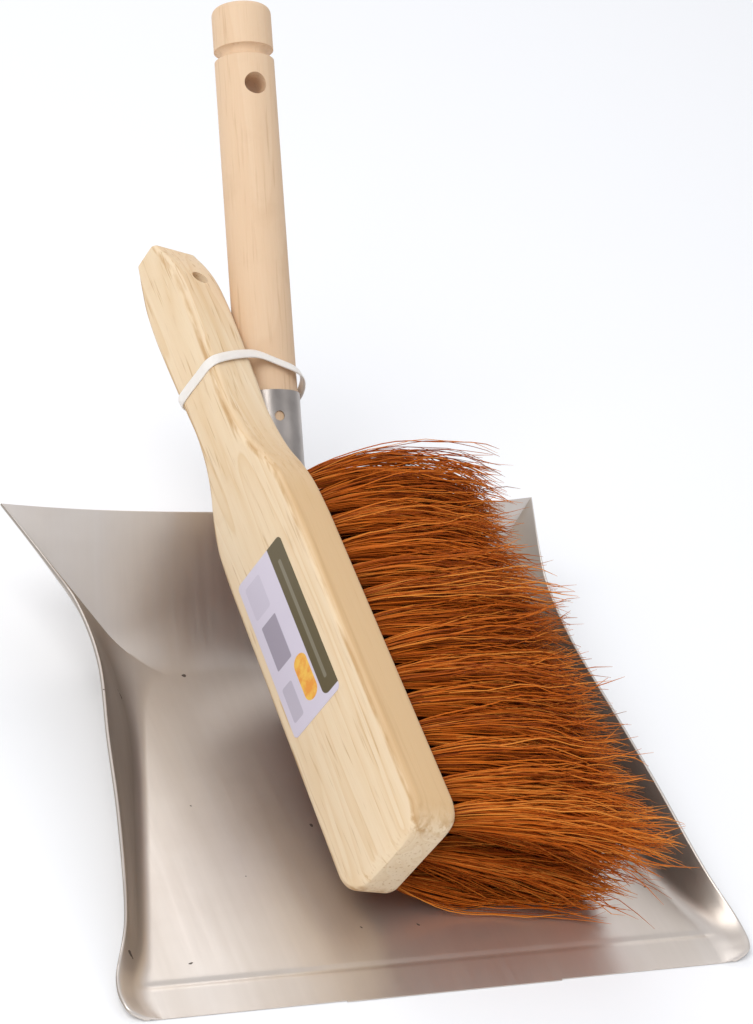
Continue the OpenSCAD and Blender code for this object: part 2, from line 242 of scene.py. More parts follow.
def wood(name, light, mid, dark, turn, along, ring, flecks, pale, painted_side_shade=0.0):
    """Grain runs along local Y or Z after the turn."""
    g = Graph(name)
    p = g.mapping(g.coord, rot=turn)

    def lined(across, slow, detail=3.0, rough=0.5, dist=0.0):
        k = (1, slow, 1) if along == "Y" else (1, 1, slow)
        return g.noise(g.mapping(p, scale=k), across, detail, rough, dist)

    rings = lined(ring, 0.07, 2, 0.45, 0.9)
    bands = g.math("FRACT", g.math("MULTIPLY", rings, 9.0))
    bands = g.ramp(bands, [(0.0, (0, 0, 0)), (0.70, (0.5,) * 3), (0.93, (1, 1, 1)), (1.0, (0, 0, 0))])
    fine = lined(1500, 0.03, 4, 0.65)
    dash = g.ramp(lined(760, 0.045, 2, 0.5, 0.3), [(0.59, (0, 0, 0)), (0.68, (1, 1, 1))])
    part = g.ramp(g.noise(p, 34, 3, 0.6), [(0.36, (0.15,) * 3), (0.62, (1, 1, 1))])
    dash = g.math("MULTIPLY", dash, part)
    col = g.mix(g.math("MULTIPLY", bands, 0.42 * flecks), light, mid)
    lines = g.ramp(fine, [(0.40, (0, 0, 0)), (0.75, (1, 1, 1))])
    col = g.mix(g.math("MULTIPLY", lines, 0.30), col, mid)
    col = g.mix(g.ramp(lined(30, 0.06, 2), [(0.42, (0, 0, 0)), (0.72, (0.5,) * 3)]), col, pale)
    col = g.mix(g.math("MULTIPLY", dash, 0.40 * flecks), col, dark)
    col = g.mix(g.ramp(g.noise(p, 22, 5, 0.65), [(0.55, (0, 0, 0)), (0.80, (0.25,) * 3)]), col, dark)
    # Painted shade: faces turned sideways on the block part, fading out toward the grip, are painted
    # darker and warmer, standing in for the shade they get; the last argument sets its strength.
    if painted_side_shade:
        side = g.sideways()
        cut = g.ramp(side, [(0.45, (0, 0, 0)), (0.95, (painted_side_shade,) * 3)])
        near = g.node("MapRange", Value=g.axis(1), From_Min=0.215, From_Max=0.145)
        cut = g.math("MULTIPLY", cut, near)
        col = g.mix(cut, col, (0.65, 0.43, 0.22))
        # Grain seams, drawn darker only inside the painted-shade mask.
        seam = g.ramp(lined(240, 0.035, 4, 0.6, 0.4), [(0.50, (0, 0, 0)), (0.70, (0.6,) * 3)])
        col = g.mix(g.math("MULTIPLY", cut, seam), col, dark)
        worn = g.band(side, 0.25, 0.70, 0.12)
        rag = g.ramp(lined(260, 0.12, 4, 0.6), [(0.40, (0, 0, 0)), (0.60, (0.9,) * 3)])
        col = g.mix(g.math("MULTIPLY", worn, rag), col, dark)
    h = g.math("SUBTRACT", g.math("MULTIPLY", fine, 0.6), g.math("MULTIPLY", dash, 0.6))
    rough = g.math("ADD", 0.52, g.math("MULTIPLY", fine, 0.16))
    return g.set(Base_Color=col, Roughness=rough, Normal=g.bump(h, 0.55, 0.00014),
                 Subsurface_Weight=0.04, Subsurface_Radius=(0.004, 0.002, 0.001),
                 Specular_IOR_Level=0.3)


def coir():
    g = Graph("coir_fibre")
    tone = g.node("Attribute", out=2, props={"attribute_name": "tone"})
    depth = g.node("Attribute", out=2, props={"attribute_name": "run"})
    mott = g.noise(g.coord, 700, 3, 0.6)
    col = g.ramp(tone, [(0.0, (0.14, 0.024, 0.003)), (0.30, (0.40, 0.078, 0.007)),
                        (0.65, (0.68, 0.165, 0.015)), (1.0, (0.88, 0.33, 0.055))])
    col = g.mix(g.math("MULTIPLY", mott, 0.3), col, (0.45, 0.14, 0.03), "MULTIPLY")
    # Painted shade: fibres darken toward their roots at the block, where they crowd together; toward
    # the tips they turn lighter.
    col = g.mix(g.ramp(depth, [(0.0, (0.45,) * 3), (0.16, (0, 0, 0))]), col, (0.12, 0.025, 0.005))
    col = g.mix(g.ramp(depth, [(0.82, (0, 0, 0)), (1.0, (0.25,) * 3)]), col, (0.84, 0.38, 0.10))
    return g.set(Base_Color=col, Roughness=0.62, Specular_IOR_Level=0.16,
                 Specular_Tint=(1.0, 0.62, 0.35), Normal=g.bump(mott, 0.3, 0.00005))


def label_print():
    """Plain printed sticker: a dark strip, a warm oval and plain panels, no lettering."""
    g = Graph("label_paper")
    x = g.math("MULTIPLY", g.axis(0), 1000.0)
    y = g.math("MULTIPLY", g.axis(1), 1000.0)
    grain = g.noise(g.coord, 2500, 3, 0.6)
    stain = g.noise(g.coord, 45, 3, 0.55)

    def panel(x0, x1, y0, y1, r, soft=0.12):
        def past(v, a, b):
            off = g.math("ABSOLUTE", g.math("SUBTRACT", v, (a + b) / 2))
            return g.math("MAXIMUM", g.math("SUBTRACT", off, (b - a) / 2 - r), 0.0)

        dx, dy = past(x, x0, x1), past(y, y0, y1)
        far = g.math("SQRT", g.math("ADD", g.math("MULTIPLY", dx, dx), g.math("MULTIPLY", dy, dy)))
        return g.node("MapRange", Value=far, From_Min=r + soft, From_Max=r - soft)

    paper = g.mix(g.math("MULTIPLY", stain, 0.5), (0.66, 0.60, 0.68), (0.56, 0.51, 0.60))
    c = g.mix(panel(3.0, 26, 66.5, 150, 3.0), paper, (0.105, 0.080, 0.034))
    c = g.mix(g.math("MULTIPLY", panel(6.2, 7.8, 72, 126, 0.7), 0.22), c, (0.55, 0.52, 0.42))
    tone = g.ramp(g.noise(g.coord, 260, 3, 0.6),
                  [(0.40, (0.80, 0.30, 0.02)), (0.62, (0.86, 0.50, 0.06))])
    c = g.mix(g.math("MULTIPLY", panel(-5.6, 1.9, 70, 89, 3.7), 0.95), c, tone)
    c = g.mix(g.math("MULTIPLY", panel(-13.5, -4.5, 91, 111, 0.6), 0.62), c, (0.16, 0.13, 0.17))
    c = g.mix(g.math("MULTIPLY", panel(-14.5, -5.0, 115, 130, 1.2), 0.16), c, (0.2, 0.18, 0.24))
    c = g.mix(g.math("MULTIPLY", panel(-15.0, -9.0, 69, 84, 1.0), 0.30), c, (0.16, 0.14, 0.17))
    return g.set(Base_Color=c, Roughness=g.math("ADD", 0.36, g.math("MULTIPLY", grain, 0.15)),
                 Normal=g.bump(grain, 0.2, 0.00004), Specular_IOR_Level=0.4, Coat_Weight=0.1,
                 Coat_Roughness=0.25)


def band_plastic():
    g = Graph("band_plastic")
    n = g.noise(g.coord, 240, 3, 0.5)
    fine = g.noise(g.coord, 2600, 2, 0.5)
    c = g.mix(n, (0.93, 0.85, 0.77), (0.97, 0.91, 0.85))
    r = g.math("ADD", 0.24, g.math("MULTIPLY", fine, 0.16))
    return g.set(Base_Color=c, Roughness=r, Transmission_Weight=0.15, IOR=1.45,
                 Subsurface_Weight=0.4, Subsurface_Radius=(0.003, 0.003, 0.003),
                 Normal=g.bump(n, 0.15, 0.0001))


def floor_mat():
    g = Graph("floor")
    n = g.noise(g.coord, 12, 2)
    c = g.mix(g.math("MULTIPLY", n, 0.2), (0.93, 0.93, 0.93), (0.91, 0.91, 0.91))
    return g.set(Base_Color=c, Roughness=0.75, Specular_IOR_Level=0.2)


M_SHEET = metal_sheet()
M_FERR = metal_plain("ferrule_steel", (0.45, 0.405, 0.37), 0.33)
M_RIVET = metal_plain("rivet_steel", (0.62, 0.62, 0.63), 0.34)
M_NAIL = metal_plain("nail_steel", (0.40, 0.39, 0.39), 0.45)
M_WIRE = metal_plain("anchor_wire", (0.50, 0.50, 0.50), 0.4)
M_BEECH = wood("beech_turned", (0.73, 0.52, 0.335), (0.64, 0.41, 0.235), (0.44, 0.25, 0.12),
               (math.radians(41.7), 0, 0), "Z", 26, 0.8, (0.78, 0.59, 0.41))
M_PINE = wood("pine_block", (0.80, 0.63, 0.425), (0.70, 0.49, 0.27), (0.50, 0.30, 0.13),
              (0, 0, 0), "Y", 46, 1.6, (0.85, 0.72, 0.54), 0.9)
M_COIR = coir()
M_LABEL = label_print()
M_BAND = band_plastic()


def paint(ob, mat):
    ob.data.materials.clear()
    ob.data.materials.append(mat)


# ---------------------------------------------------------------- pan sheet

LIP, EAR_H, SIDE_BEND, BACK_BEND, SHEET = 14.0, 47.0, 5.2, 22.0, 0.7
CORNER_BEND, BACK_FOOT_Y, BACK_RIM_Y = 16.0, 181.0, 209.0
CREASE = np.array([(100.5, -14), (102.6, -8.5), (102.5, 0), (97.5, 21), (90.1, 54), (82, 88), (75, 120),
                   (71, 148), (68.5, 162), (63, 171.5)], float)
RIM = np.array([(104.5, -14, 1), (109.8, -10.8, 3.2), (110.4, 0, 5.4), (104.2, 19, 13.3),
                (99.2, 54, 23.4), (95.6, 88, 30.6), (91.8, 121, 37.8), (93.3, 150, 42.0),
                (98.5, 173, 43.6), (109, BACK_RIM_Y, EAR_H)], float)


def along(p, u):
    n = len(p) - 1
    s = min(n - 1e-6, max(0, u * n))
    i = int(s)
    k = s - i
    a, b, c, d = p[max(0, i - 1)], p[i], p[i + 1], p[min(n, i + 2)]
    return 0.5 * (2 * b + (c - a) * k + (2 * a - 5 * b + 4 * c - d) * k * k
                  + (3 * b - a - 3 * c + d) * k ** 3)


def side_station(u):
    return along(CREASE, u), along(RIM, u), lerp(SIDE_BEND, CORNER_BEND, smooth((u - 0.62) / 0.38))


def back_station(v):
    k = (1 - v) ** 3
    corner, ear = CREASE[-1], RIM[-1]
    return (np.array([lerp(corner[0], 0, v), lerp(corner[1], BACK_FOOT_Y, smooth(v * 1.3))]),
            np.array([lerp(ear[0], 0, v), lerp(BACK_RIM_Y - 3, BACK_RIM_Y, k),
                      lerp(EAR_H - 3.5, EAR_H, lerp(k, 1 - v, 0.35))]),
            lerp(CORNER_BEND, BACK_BEND, smooth(v * 2)))


def profile(st, steps=14):
    """Closed-loop cross-section of the wall: inner skin, folded rim, outer skin."""
    foot, rim, rad = st
    out = rim[:2] - foot
    run = np.linalg.norm(out)
    d = out / run
    tilt = math.atan2(rim[2], run)
    full = math.hypot(run, rim[2])
    tang = min(rad, 0.45 * full)
    r = tang / math.tan(tilt / 2)
    hem = min(4.0, 0.35 * full)
    pts = []

    def put(h, z, a, lift):
        pts.append((h - lift * math.sin(a), z + lift * math.cos(a)))

    ks = np.linspace(0, 1, steps)
    for k in ks:
        put(-tang + r * math.sin(tilt * k), r * (1 - math.cos(tilt * k)), tilt * k, SHEET)
    base = (-tang + r * math.sin(tilt), r * (1 - math.cos(tilt)))
    for k in (0.33, 0.66):
        put(lerp(base[0], run, k), lerp(base[1], rim[2], k), tilt, SHEET)
    for q in np.linspace(90, -90, 7):
        ca, sb = 0.68 * math.cos(math.radians(q)), 0.68 * math.sin(math.radians(q))
        put(run + ca * math.cos(tilt), rim[2] + ca * math.sin(tilt), tilt, sb + 0.02)
    put(run - hem * math.cos(tilt), rim[2] - hem * math.sin(tilt), tilt, -0.62)
    put(run - (hem + 0.3) * math.cos(tilt), rim[2] - (hem + 0.3) * math.sin(tilt), tilt, 0.0)
    put(lerp(base[0], run, 0.3), lerp(base[1], rim[2], 0.3), tilt, 0.0)
    for k in ks[::-1]:
        put(-tang + r * math.sin(tilt * k), r * (1 - math.cos(tilt * k)), tilt * k, 0.0)
    return np.array([(foot[0] + d[0] * h, foot[1] + d[1] * h, z) for h, z in pts])


def build_pan():
    side_n, back_n = 150, 70
    us = [i / side_n for i in range(side_n + 1)]
    half = [side_station(u) for u in us] + [back_station((i + 1) / back_n) for i in range(back_n)]
    right = [profile(s) for s in half]
    left = [p * np.array([-1, 1, 1]) for p in right[:-1]][::-1]
    rings = right + left
    n, m = len(rings), len(rings[0])
    v = np.concatenate(rings)

    crease_deep, crease_w, lip_fall = 0.38, 1.1, 0.42

    def groove(y):
        return -crease_deep * math.exp(-(y / crease_w) ** 2) - lip_fall * max(0.0, -y) / LIP

    front = [i for i in range(len(right)) if right[i][0][1] < 6.0]
    k = front[-1]
    for i in front:
        for j in (i, n - 1 - i):
            w = groove(v[j * m][1])
            fade = np.linspace(1, 0, 10)
            for a, f in enumerate(fade):
                v[j * m + a][2] += w * f
    faces = []
    for i in range(n - 1):
        for j in range(m - 1):
            faces.append((i * m + j, (i + 1) * m + j, (i + 1) * m + j + 1, i * m + j + 1))
    top = lambda i: i * m
    low = lambda i: i * m + m - 1
    mirror = lambda i: n - 1 - i
    half_t = 38.0
    ext = []
    for z in (SHEET - lip_fall, 0.0):
        for x, y in ((-half_t, -LIP), (-half_t, -LIP - 0.5), (half_t, -LIP - 0.5), (half_t, -LIP)):
            ext.append((x, y, z))
    e0 = len(v)
    v = np.concatenate([v, np.array(ext)])
    for i in range(k):
        for f in (top, low):
            quad = [f(i), f(i + 1), f(mirror(i + 1)), f(mirror(i))]
            if i == 0:
                quad += [e0 + (0 if f is top else 4) + q for q in range(4)]
            faces.append(tuple(quad))
    for f in (top, low):
        faces.append(tuple(f(i) for i in range(k, n - k)))
    chain_t = [top(n - 1)] + [e0 + q for q in range(4)] + [top(0)]
    chain_l = [low(n - 1)] + [e0 + 4 + q for q in range(4)] + [low(0)]
    for a in range(5):
        faces.append((chain_t[a], chain_t[a + 1], chain_l[a + 1], chain_l[a]))
    faces.append(tuple(range(m)))
    faces.append(tuple((n - 1) * m + j for j in range(m - 1, -1, -1)))
    v[:, 1] -= MID
    ob = make_mesh("pan_sheet_skin", v * MM, faces)
    fix_normals(ob)
    sharp(ob, 32)
    paint(ob, M_SHEET)
    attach(ob, "pan")
    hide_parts("pan_sheet")
    return ob


build_pan()

# ---------------------------------------------------------------- brush pose

ROLL, PITCH, YAW = (math.radians(a) for a in (-72.8, 14.35, 3.3))
BRUSH_ROT = (Matrix.Rotation(YAW, 3, "Z") @ Matrix.Rotation(PITCH, 3, "X")
             @ Matrix.Rotation(ROLL, 3, "Y"))
RB = np.array(BRUSH_ROT)
BRUSH_AT = np.array([-22.5, 13.5, 32.4])
BRUSH_MAT = Matrix.Translation(Vector((BRUSH_AT - [0, MID, 0]) * MM)) @ BRUSH_ROT.to_4x4()
LEN, BLOCK_T, GRIP_T, BRISTLE = 297.0, 18.5, 22.3, 85.0
PLAN_LEN, EYE_FROM_END, EYE_R, BAND_AT = 299, 22, 3.5, 226


def to_pan(p):
    return np.asarray(p) @ RB.T + BRUSH_AT


HALF = np.array([(11, 23), (80, 23), (140, 23), (156, 22.2), (168, 19.3), (180, 14.9), (192, 12.3),
                 (206, 11.1), (222, 12), (246, 13), (262, 13.4), (276, 12.8), (286, 11.1),
                 (293, 8.9), (299, 6.4)], float)


def half_at(s):
    s = s * PLAN_LEN / LEN
    if s < 11:
        return 12 + math.sqrt(121 - (11 - s) ** 2)
    f = lambda x: np.interp(np.clip(x, 0, PLAN_LEN), HALF[:, 0], HALF[:, 1])
    return sum(f(s + d) for d in (-4, -2, 0, 2, 4)) / 5


def thick_at(s):
    t = lerp(BLOCK_T, GRIP_T, smooth((s - 150) / 45))
    if s > 280:
        t -= 1.5 * ((s - 280) / 19) ** 2
    if s < 5:
        t -= 2.5 * (1 - s / 5) ** 2
    return t


def wood_section(s, steps=10):
    w, t = half_at(s), thick_at(s)
    top = -1.6 * (1 - s / 5) ** 2 if s < 5 else 0.0
    r = min(lerp(3, 3.8, smooth((s - 150) / 40)) - 1.6 * smooth((s - 284) / 13), w * 0.9)
    pts = []
    for c in range(4):
        for k in range(steps + 1):
            a = math.radians(90 * c + 90 * k / steps)
            sx = 1 if c in (0, 3) else -1
            cz = top - r if c < 2 else -(t + top) + r
            pts.append((sx * (w - r) + r * math.cos(a), s, cz + r * math.sin(a)))
    return pts


def build_block():
    ss = np.unique(np.concatenate([np.linspace(0, 6, 13), np.linspace(6, 24, 13),
                                   np.linspace(24, 145, 25), np.linspace(145, 215, 48),
                                   np.linspace(215, 275, 31), np.linspace(275, LEN, 33)]))
    rings = [wood_section(s) for s in ss]
    m = len(rings[0])
    v = np.array(rings).reshape(-1, 3)
    faces = []
    for i in range(len(rings) - 1):
        for j in range(m):
            a, b = i * m + j, i * m + (j + 1) % m
            faces.append((a, b, b + m, a + m))
    faces.append(tuple(reversed(range(m))))
    faces.append(tuple((len(rings) - 1) * m + j for j in range(m)))
    ob = make_mesh("brush_wood", v * MM, faces)
    fix_normals(ob)
    carve(ob, [rod(EYE_R, (0, LEN - EYE_FROM_END, -GRIP_T / 2 - 1), (1, 0, 0), 60)])
    sharp(ob, 34)
    ob.matrix_world = BRUSH_MAT
    paint(ob, M_PINE)
    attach(ob, "brush")
    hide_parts("brush_block")
    return ob


build_block()


def build_label():
    w, l, r, t = 29.0, 70.0, 2.0, 0.16
    pts = []
    for c in range(4):
        for a in range(0, 91, 10):
            q = math.radians(a + 90 * c)
            sx, sy = (1 if c in (0, 3) else -1), (1 if c < 2 else -1)
            pts.append((sx * (w / 2 - r) + r * math.cos(q) - 3.0,
                        sy * (l / 2 - r) + r * math.sin(q) + 64 + l / 2))
    n = len(pts)
    v = [(x, y, 0.02) for x, y in pts] + [(x, y, t) for x, y in pts]
    faces = [tuple(reversed(range(n))), tuple(range(n, 2 * n))]
    faces += [(i, (i + 1) % n, n + (i + 1) % n, n + i) for i in range(n)]
    ob = make_mesh("sticker", np.array(v) * MM, faces, False)
    ob.matrix_world = BRUSH_MAT
    paint(ob, M_LABEL)
    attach(ob, "brush")
    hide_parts("brush_label")


build_label()

# ---------------------------------------------------------------- coir fibres

ROWS, ROW_PITCH, LONG, FIRST, LAST = 5, 8.0, 14, 7.0, 160.0
PER_TUFT, SEG = 172, 13


def row_n(r):
    return LONG - (1 if r % 2 == 0 else 0)


def tuft_root(r, i):
    step = (LAST - FIRST) / (LONG - 1)
    return (r - 3) * ROW_PITCH, FIRST + step * (i + (0.5 if r % 2 == 0 else 0))


LEVELS = np.arange(1.0, 48.0, 1.0)
ALONG_X, ALONG_Y = np.arange(0, 111, 2.0), np.arange(-14, 211, 2.0)


def wall_grid(stations, axis, grid):
    """Inner face of the wall at each height, for places along the other axis."""
    pts = [profile(st)[:17] for st in stations]
    at = np.array([[np.interp(LEVELS, p[:, 2], p[:, c]) for c in (0, 1)] for p in pts])
    out = np.empty((len(LEVELS), len(grid)))
    for k in range(len(LEVELS)):
        order = np.argsort(at[:, 1 - axis, k])
        out[k] = np.interp(grid, at[order, 1 - axis, k], at[order, axis, k])
    return out


BACK_FACE = wall_grid([back_station(v) for v in np.linspace(0, 1, 40)], 1, ALONG_X)
SIDE_FACE = wall_grid([side_station(u) for u in np.linspace(0, 1, 80)], 0, ALONG_Y)


def look_up(table, grid, a, z):
    i = np.clip(z - LEVELS[0], 0, len(LEVELS) - 1.001)
    j = np.clip((a - grid[0]) / (grid[1] - grid[0]), 0, len(grid) - 1.001)
    k, m = i.astype(int), j.astype(int)
    low = lerp(table[k, m], table[k, m + 1], j - m)
    high = lerp(table[k + 1, m], table[k + 1, m + 1], j - m)
    return lerp(low, high, i - k)


def back_limit(x, z):
    over = np.maximum(0, z - (EAR_H - 2))
    return look_up(BACK_FACE, ALONG_X, np.abs(x), z) + 0.575 * over


def side_limit(y, z):
    over = np.maximum(0, z - np.interp(y, RIM[:, 1], RIM[:, 2]))
    return look_up(SIDE_FACE, ALONG_Y, y, z) + 0.25 * over


def soft_floor(z, level, width):
    q = (z - level) / width
    return level + width * np.where(q > 20, q, np.log1p(np.exp(np.minimum(q, 20))))


def fibre_row(r):
    rng = np.random.default_rng(400 + r)
    t = np.linspace(0, 1, SEG + 1)
    V, F, tone, run = [], [], [], []
    base = 0
    ring = np.arange(3) * 2 * np.pi / 3
    fan_row = {1: -3.0, 2: 0.0, 3: 4.0, 4: 8.5, 5: 12.0}[r]
    rise = (1 - np.exp(-3.2 * t)) / (1 - math.exp(-3.2))
    arch = np.sin(math.pi * 0.95 * t)
    for i in range(row_n(r)):
        rx, rs = tuft_root(r, i)
        mid = (FIRST + LAST) / 2
        end = (rs - mid) / (LAST - mid)
        tuft_tone = rng.normal(0, 0.05)
        lean = rng.normal(0, 2.0, 2)
        top = max(0.0, end) ** 2.5
        fan_x = fan_row + 2.0 * top
        locks = [(rng.uniform(0, 2 * np.pi, 2), rng.uniform(0.6, 2.7, 2), rng.uniform(4.5, 12.0, 2),
                  rng.normal(0, 3.6, 2)) for _ in range(14)]
        for _ in range(PER_TUFT):
            a, q = rng.uniform(0, 2 * np.pi), math.sqrt(rng.uniform())
            off = np.array([math.cos(a), math.sin(a)]) * q
            length = BRISTLE - 6.5 + rng.normal(0, 1.1) - 5 * abs(rng.normal(0, 0.55))
            stray = rng.uniform() < 0.025
            lock = locks[rng.integers(len(locks))]
            splay = rng.normal(0, 4.2, 2) * (1.4 if stray else 1.0) + off * 3.0 + lean + lock[3]
            spread = 0.55 * t + 0.45 * t ** 2
            px = rx + off[0] * (2.6 + 2.0 * rise) + fan_x * rise + splay[0] * spread
            ps = (rs + off[1] * (3.9 + 3.4 * rise) + (rs - mid) * 0.11 * t
                  + top * (3.0 * arch - 7.0 * t ** 3) + splay[1] * spread)
            if end < 0:
                ps = ps - 1.5 * end ** 4 * t
            pz = -BLOCK_T + 0.8 - length * t
            ph = rng.uniform(0, 2 * np.pi, 2)
            amp = rng.uniform(0.3, 1.3, 2) * (1.5 if stray else 1.0)
            px = px + t * (lock[1][0] * np.sin(lock[0][0] + t * lock[2][0])
                           + amp[0] * np.sin(ph[0] + t * rng.uniform(7, 24)))
            ps = ps + t * (lock[1][1] * np.sin(lock[0][1] + t * lock[2][1])
                           + amp[1] * np.sin(ph[1] + t * rng.uniform(7, 24)))
            hook = rng.normal(0, 1.6, 2)
            bend = np.clip(t - 0.72, 0, 1) ** 2 * 14
            w = to_pan(np.stack([px + hook[0] * bend, ps + hook[1] * bend, pz], 1))
            w[:, 2] -= 2.0 * t ** 3
            level = 1.6 + rng.uniform(0, 4.5) + (r - 1) * 1.1
            w[:, 2] = np.where(t > 0.06, soft_floor(w[:, 2], level * t, 2.2), w[:, 2])
            room = 1.0 + 2.5 * rng.uniform()
            w[:, 1] = np.minimum(w[:, 1], back_limit(w[:, 0], w[:, 2]) - room)
            w[:, 0] = np.minimum(w[:, 0], side_limit(w[:, 1], w[:, 2]) - room)
            w[:, 1] -= MID
            d = np.gradient(w, axis=0)
            d /= np.linalg.norm(d, axis=1)[:, None]
            up = np.array([0.0, 0.3, 1.0])
            n1 = np.cross(d, up)
            n1 /= np.linalg.norm(n1, axis=1)[:, None]
            n2 = np.cross(d, n1)
            rad = rng.uniform(0.15, 0.31) * (1 - 0.30 * t ** 2)
            rad[-1] *= 0.35
            V.append((w[:, None, :] + rad[:, None, None] * (
                np.cos(ring)[None, :, None] * n1[:, None, :]
                + np.sin(ring)[None, :, None] * n2[:, None, :])).reshape(-1, 3))
            k = np.arange(SEG)[:, None] * 3
            j = np.arange(3)[None, :]
            q4 = np.stack([k + j, k + (j + 1) % 3, k + 3 + (j + 1) % 3, k + 3 + j], -1)
            F.append(q4.reshape(-1, 4) + base)
            base += 3 * (SEG + 1)
            # Random tone per fibre and tuft, plus painted light: fibres toward the block's lower end
            # (end below 0) are made lighter, standing in for front light that reaches them.
            tone_with_painted_light = np.clip(rng.normal(0.48, 0.24) + tuft_tone + 0.16 * max(0.0, -end) ** 3, 0.02, 0.98)
            tone.append(np.full(3 * (SEG + 1), tone_with_painted_light))
            run.append(np.repeat(t, 3))
    V, F = np.concatenate(V) * MM, np.concatenate(F)
    me = bpy.data.meshes.new("coir_row_%d" % r)
    me.vertices.add(len(V))
    me.vertices.foreach_set("co", V.astype(np.float32).ravel())
    me.loops.add(F.size)
    me.loops.foreach_set("vertex_index", F.astype(np.int32).ravel())
    me.polygons.add(len(F))
    me.polygons.foreach_set("loop_start", np.arange(0, F.size, 4, dtype=np.int32))
    me.polygons.foreach_set("use_smooth", [True] * len(F))
    me.update(calc_edges=True)
    for key, val in (("tone", tone), ("run", run)):
        at = me.attributes.new(key, "FLOAT", "POINT")
        at.data.foreach_set("value", np.concatenate(val).astype(np.float32))
    me.validate()
    ob = bpy.data.objects.new("coir_row_%d" % r, me)
    bpy.context.scene.collection.objects.link(ob)
    paint(ob, M_COIR)
    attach(ob, "brush")
    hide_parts("tuft_row_%d" % r)
    return ob


for row in range(1, ROWS + 1):
    fibre_row(row)

# ---------------------------------------------------------------- ferrule

SLOPE = math.radians(48.3)
WALL = math.atan2(EAR_H - 3.5, BACK_RIM_Y - 3 - BACK_FOOT_Y)
HANDLE_FOOT = np.array([0, 240.0, 75.0])
WALL_FOOT = np.array([0, BACK_FOOT_Y, 0])
HANDLE_R, FIT, FERRULE_T, TANG_W, TANG_T, WALL_GAP = 12.0, 0.15, 0.6, 26.0, 1.4, 0.35
VENT_DROP, VENT_R, NAIL_DROP, NAIL_R, RIVET_R = 9, 2.0, 16, 1.15, 2.05
RIVETS_AT = (27, 40)
X1 = np.array([1.0, 0, 0])


def leaning(angle):
    """Unit vectors up along a leaning line, and square to it, away from the pan."""
    c, s = math.cos(angle), math.sin(angle)
    return np.array([0, c, s]), np.array([0, s, -c])


UP, OUT = leaning(SLOPE)
WALL_UP, WALL_OUT = leaning(WALL)


def ferrule_form(top, grow, low, n=96):
    """Closed skin: round on the handle, flattened into a tang behind the wall."""
    flat_at = WALL_FOOT + (WALL_GAP + TANG_T / 2) * WALL_OUT
    rings = []

    def ring(k, a, b):
        pts = []
        for i in range(n):
            q = 2 * math.pi * i / n
            c, s = math.cos(q), math.sin(q)
            tube = HANDLE_FOOT + a * UP + (HANDLE_R + FIT + grow) * (c * X1 + s * OUT)
            flat = (flat_at + b * WALL_UP + (TANG_W / 2 - FERRULE_T + grow) * c * X1
                    + (0.1 + grow) * max(-1, min(1, 2 * s)) * WALL_OUT)
            pts.append(lerp(tube, flat, k))
        rings.append(pts)

    ring(0, top, 0)
    ring(0, -12.0, 0)
    for i in range(25):
        k = i / 24
        ring(float(smooth(k)), lerp(-24.0, -50.0, k), lerp(72.0, 52.0, k))
    ring(1, 0, low)
    m = len(rings)
    v = np.concatenate([np.array(q) for q in rings])
    v[:, 1] -= MID
    faces = [(i * n + j, i * n + (j + 1) % n, (i + 1) * n + (j + 1) % n, (i + 1) * n + j)
             for i in range(m - 1) for j in range(n)]
    faces += [tuple(reversed(range(n))), tuple((m - 1) * n + j for j in range(n))]
    ob = make_mesh("ferrule_form", v * MM, faces)
    fix_normals(ob)
    return ob


def build_ferrule():
    foot = HANDLE_FOOT - [0, MID, 0]
    wall = WALL_FOOT - [0, MID, 0]
    ob = ferrule_form(1.5, FERRULE_T, 20.0)
    cuts = [ferrule_form(6.5, 0.0, 48.0),
            rod(VENT_R, foot - VENT_DROP * UP - HANDLE_R * OUT, -OUT, 16),
            rod(NAIL_R, foot - NAIL_DROP * UP + HANDLE_R * OUT, -OUT, 16)]
    cuts += [rod(RIVET_R, wall + q * WALL_UP, WALL_OUT, 12) for q in RIVETS_AT]
    carve(ob, cuts)
    sharp(ob, 40)
    ob.name = "ferrule_tube"
    paint(ob, M_FERR)
    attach(ob, "pan")
    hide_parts("ferrule")


build_ferrule()

# ---------------------------------------------------------------- band


def hull(points):
    pts = sorted(map(tuple, points))

    def half(seq):
        out = []
        for q in seq:
            while len(out) > 1 and ((out[-1][0] - out[-2][0]) * (q[1] - out[-2][1])
                                    - (out[-1][1] - out[-2][1]) * (q[0] - out[-2][0])) <= 0:
                out.pop()
            out.append(q)
        return out[:-1]
    return np.array(half(pts) + half(pts[::-1]))


